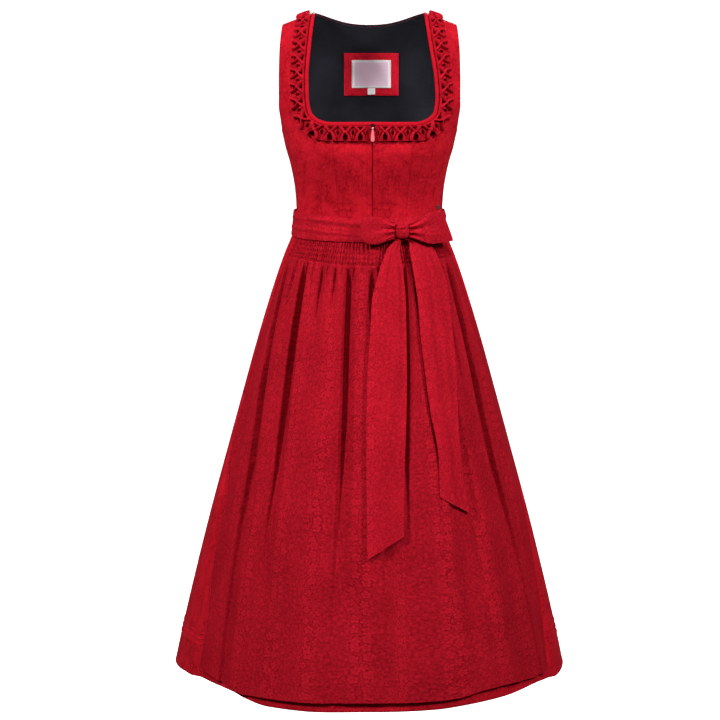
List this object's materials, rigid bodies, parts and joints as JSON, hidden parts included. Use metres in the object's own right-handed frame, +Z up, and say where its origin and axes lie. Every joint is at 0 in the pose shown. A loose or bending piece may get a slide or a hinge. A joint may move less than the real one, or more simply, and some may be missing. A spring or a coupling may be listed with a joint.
{
  "type": "dirndl dress with apron",
  "caption": "Sleeveless midi dirndl with a square neckline, pinched ruffle trim, full gathered skirt and a smocked apron tied in a bow at the front.",
  "frame": {"origin": "between the shoulders, level with the neck ends of the shoulder seams, where a wearer holds the dress up", "axes": "+Z up along the dress, -Y to the front, +X to the wearer's left"},
  "size_m": [0.7291, 0.5752, 1.209],
  "materials": {
    "dress_jacquard": "red tone-on-tone floral jacquard with a soft sheen",
    "apron_jacquard": "red jacquard with upright stripes of small rosettes",
    "trim_cloth": "plain red satin cloth, pleated and pinched",
    "black_lining": "matt black lining cloth",
    "label_cloth": "pale woven label, bare",
    "tab_enamel": "glossy red enamel",
    "silver_metal": "bright silver metal"
  },
  "bodies": {
    "garment": {"bodice_front_centre_left": "dress_jacquard", "bodice_front_centre_right": "dress_jacquard", "bodice_front_side_left": "dress_jacquard", "bodice_front_side_right": "dress_jacquard", "bodice_back_centre": "dress_jacquard", "bodice_back_side_left": "dress_jacquard", "bodice_back_side_right": "dress_jacquard", "lining_back": "black_lining", "label_patch": "dress_jacquard", "label": "label_cloth", "size_tab": "label_cloth", "neck_binding_left": "trim_cloth", "neck_binding_right": "trim_cloth", "neck_binding_back": "trim_cloth", "neck_trim_left": "trim_cloth", "neck_trim_right": "trim_cloth", "zip_tape": "trim_cloth", "zip_slider": "silver_metal", "side_badge": "silver_metal", "skirt_front": "dress_jacquard", "skirt_back": "dress_jacquard", "apron": "apron_jacquard", "band_front": "apron_jacquard", "band_back": "apron_jacquard", "bow_knot": "apron_jacquard", "bow_loop_left": "apron_jacquard", "bow_loop_right": "apron_jacquard", "bow_tail_left": "apron_jacquard", "bow_tail_right": "apron_jacquard"},
    "pull_tab": {"zip_tab": "tab_enamel"}
  },
  "joints": [
    {"name": "tab_swing", "type": "hinge", "parent": "garment", "child": "pull_tab", "pos_m": [0.005, -0.12301, -0.2035], "axis": [-1, 0, 0], "range_deg": [0, 165]}
  ]
}
